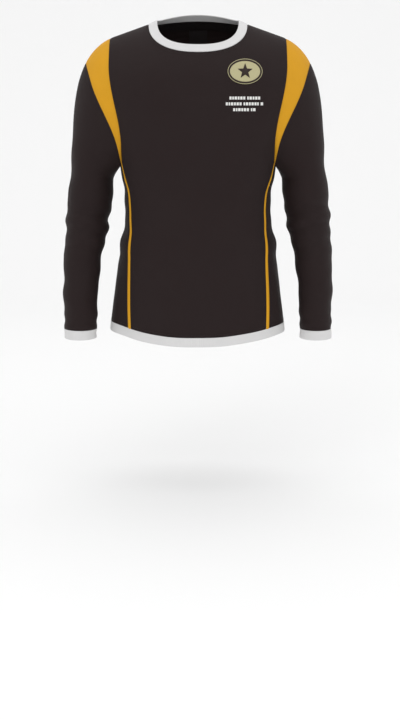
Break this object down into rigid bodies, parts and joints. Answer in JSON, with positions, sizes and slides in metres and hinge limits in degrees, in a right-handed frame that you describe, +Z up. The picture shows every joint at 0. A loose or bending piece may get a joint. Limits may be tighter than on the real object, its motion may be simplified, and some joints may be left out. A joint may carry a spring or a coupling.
{
  "type": "long-sleeved team uniform shirt",
  "caption": "Long-sleeved crew-neck team shirt with contrast shoulder inserts, side piping and rib collar, cuffs and hem.",
  "frame": {"origin": "centre line, level with the high shoulder points, where the wearer's shoulders carry the shirt", "axes": "+Z up, -Y the front of the shirt, +X the wearer's left"},
  "size_m": [0.6182, 0.264, 0.7574],
  "materials": {
    "body_knit": "matt interlock jersey",
    "accent_knit": "matt interlock jersey",
    "rib_knit": "soft rib",
    "neck_tape": "woven tape",
    "label_satin": "satin",
    "badge_twill": "twill",
    "badge_thread": "embroidery thread",
    "print_film": "heat-pressed film",
    "sewing_thread": "polyester thread"
  },
  "bodies": {
    "torso": {"front_body_panel": "body_knit", "back_body_panel": "body_knit", "left_side_panel": "body_knit", "right_side_panel": "body_knit", "left_sleeve_head": "body_knit", "right_sleeve_head": "body_knit", "left_front_piping": "accent_knit", "right_front_piping": "accent_knit", "left_back_piping": "accent_knit", "right_back_piping": "accent_knit", "left_shoulder_insert": "accent_knit", "right_shoulder_insert": "accent_knit", "collar_band": "rib_knit", "hem_band": "rib_knit", "back_neck_tape": "neck_tape", "neck_label": "label_satin", "care_label": "label_satin", "badge_ground": "badge_twill", "badge_border": "badge_thread", "badge_star": "badge_thread", "print_bar_top": "print_film", "print_bar_middle": "print_film", "print_bar_bottom": "print_film", "hem_stitching": "sewing_thread", "collar_stitching": "sewing_thread"},
    "left_upper_arm": {"left_upper_sleeve": "body_knit", "left_elbow_sleeve": "body_knit"},
    "left_forearm": {"left_forearm_sleeve": "body_knit", "left_cuff_band": "rib_knit", "left_cuff_stitching": "sewing_thread"},
    "right_upper_arm": {"right_upper_sleeve": "body_knit", "right_elbow_sleeve": "body_knit"},
    "right_forearm": {"right_forearm_sleeve": "body_knit", "right_cuff_band": "rib_knit", "right_cuff_stitching": "sewing_thread"}
  },
  "joints": [
    {"name": "left_shoulder_swing", "type": "hinge", "parent": "torso", "child": "left_upper_arm", "pos_m": [0.19, 0, -0.215], "axis": [0, -1, 0], "range_deg": [0, 40], "deforming": ["left_sleeve_head"]},
    {"name": "left_elbow_bend", "type": "hinge", "parent": "left_upper_arm", "child": "left_forearm", "pos_m": [0.258, -0.03, -0.4436], "axis": [-1, 0, 0], "range_deg": [0, 90], "deforming": ["left_elbow_sleeve"]},
    {"name": "right_shoulder_swing", "type": "hinge", "parent": "torso", "child": "right_upper_arm", "pos_m": [-0.19, 0, -0.215], "axis": [0, 1, 0], "range_deg": [0, 40], "deforming": ["right_sleeve_head"]},
    {"name": "right_elbow_bend", "type": "hinge", "parent": "right_upper_arm", "child": "right_forearm", "pos_m": [-0.258, -0.03, -0.4436], "axis": [-1, 0, 0], "range_deg": [0, 90], "deforming": ["right_elbow_sleeve"]}
  ]
}
